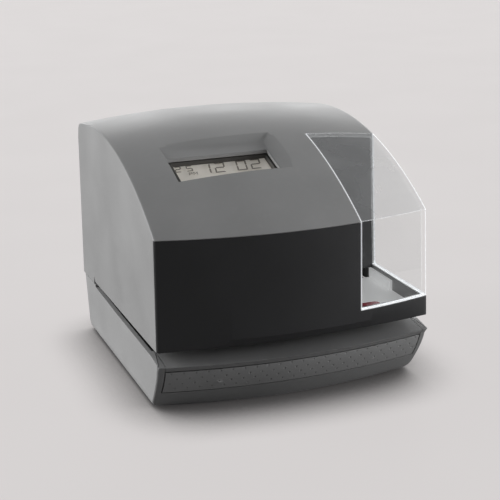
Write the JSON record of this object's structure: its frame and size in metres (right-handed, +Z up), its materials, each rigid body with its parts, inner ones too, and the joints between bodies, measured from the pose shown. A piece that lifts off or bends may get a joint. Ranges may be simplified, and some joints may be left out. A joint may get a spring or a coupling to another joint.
{
  "type": "date and time stamp machine",
  "caption": "Desktop time and date stamp with a curved cover, clear corner window, display recess, open paper throat and push bar.",
  "frame": {"origin": "on the table under the middle of the machine", "axes": "+X to the right seen from the front, +Y from front to back, +Z up"},
  "size_m": [0.16, 0.1828, 0.1448],
  "materials": {
    "light_grey_abs": "satin light grey moulding",
    "dark_grey_abs": "satin dark grey moulding",
    "panel_charcoal": "satin charcoal front panel",
    "black_plastic": "matt black moulding",
    "clear_plastic": "clear moulded window",
    "white_plastic": "matt off-white moulding",
    "red_plastic": "glossy red pointer",
    "plated_steel": "zinc plated sheet",
    "black_rubber": "matt black rubber",
    "green_board": "printed circuit board",
    "display_glass": "liquid crystal display face",
    "battery_sleeve": "shrink sleeve"
  },
  "bodies": {
    "base": {"base_shell": "light_grey_abs", "bottom_plate": "plated_steel", "rubber_foot_1": "black_rubber", "rubber_foot_2": "black_rubber", "rubber_foot_3": "black_rubber", "rubber_foot_4": "black_rubber", "chin_moulding": "dark_grey_abs", "throat_lip": "dark_grey_abs", "bar_spring_left": "plated_steel", "bar_spring_right": "plated_steel", "bar_switch": "black_plastic", "throat_plate": "black_plastic", "platen": "black_rubber", "power_board": "green_board", "backup_battery": "battery_sleeve", "dc_inlet": "black_plastic", "chassis_frame": "plated_steel", "deck_plate": "black_plastic", "chamber_tray": "white_plastic", "print_pointer": "red_plastic", "guide_rod_front": "plated_steel", "guide_rod_rear": "plated_steel", "ribbon_cassette": "dark_grey_abs", "ribbon": "black_plastic", "motor_plate": "plated_steel", "carriage_motor": "plated_steel", "idler_pin": "plated_steel", "drive_belt": "black_rubber", "main_board": "green_board", "display_bracket": "plated_steel", "display_module": "black_plastic", "display_glass": "display_glass", "key_board": "green_board", "base_screw_1": "plated_steel", "base_screw_2": "plated_steel", "base_screw_3": "plated_steel", "base_screw_4": "plated_steel", "frame_screw_1": "plated_steel", "frame_screw_2": "plated_steel", "frame_screw_3": "plated_steel"},
    "push_bar": {"push_bar": "dark_grey_abs"},
    "cover": {"cover_shell": "light_grey_abs", "front_panel": "panel_charcoal", "window": "clear_plastic", "chamber_wall": "dark_grey_abs", "lock_housing": "plated_steel"},
    "lock": {"lock_barrel": "plated_steel", "lock_cam": "plated_steel"},
    "carriage": {"carriage": "black_plastic", "print_head": "plated_steel"},
    "motor_pulley": {"motor_pulley": "plated_steel"},
    "idler_pulley": {"idler_pulley": "white_plastic"},
    "ribbon_knob": {"ribbon_knob": "white_plastic"},
    "key_select": {"key_select": "white_plastic"},
    "key_change": {"key_change": "white_plastic"},
    "key_set": {"key_set": "white_plastic"}
  },
  "joints": [
    {"name": "bar_press", "type": "slide", "parent": "base", "child": "push_bar", "axis": [0, 1, 0], "range_m": [0, 0.0016], "stiffness_N_per_m": 600, "deforming": ["bar_spring_left", "bar_spring_right"]},
    {"name": "cover_lift", "type": "slide", "parent": "base", "child": "cover", "axis": [0, 0, 1], "range_m": [0, 0.105]},
    {"name": "lock_turn", "type": "hinge", "parent": "cover", "child": "lock", "pos_m": [0.073, 0.06, 0.062], "axis": [1, 0, 0], "range_deg": [-90, 0]},
    {"name": "carriage_travel", "type": "slide", "parent": "base", "child": "carriage", "axis": [1, 0, 0], "range_m": [0, 0.064]},
    {"name": "motor_pulley_turn", "type": "hinge", "parent": "base", "child": "motor_pulley", "pos_m": [-0.05, -0.0042, 0.09], "axis": [0, 1, 0], "range_deg": [-550, 0]},
    {"name": "idler_pulley_turn", "type": "hinge", "parent": "base", "child": "idler_pulley", "pos_m": [0.015, -0.0042, 0.09], "axis": [0, 1, 0], "range_deg": [-550, 0]},
    {"name": "ribbon_knob_turn", "type": "hinge", "parent": "base", "child": "ribbon_knob", "pos_m": [-0.04, 0.021, 0.06], "axis": [0, 0, 1], "continuous": true},
    {"name": "key_select_press", "type": "slide", "parent": "base", "child": "key_select", "axis": [0, 0, -1], "range_m": [0, 0.0008], "stiffness_N_per_m": 500},
    {"name": "key_change_press", "type": "slide", "parent": "base", "child": "key_change", "axis": [0, 0, -1], "range_m": [0, 0.0008], "stiffness_N_per_m": 500},
    {"name": "key_set_press", "type": "slide", "parent": "base", "child": "key_set", "axis": [0, 0, -1], "range_m": [0, 0.0008], "stiffness_N_per_m": 500}
  ],
  "couplings": [
    {"joint": "motor_pulley_turn", "follows": "carriage_travel", "rad_per_m": -149.25},
    {"joint": "idler_pulley_turn", "follows": "carriage_travel", "rad_per_m": -149.25}
  ]
}
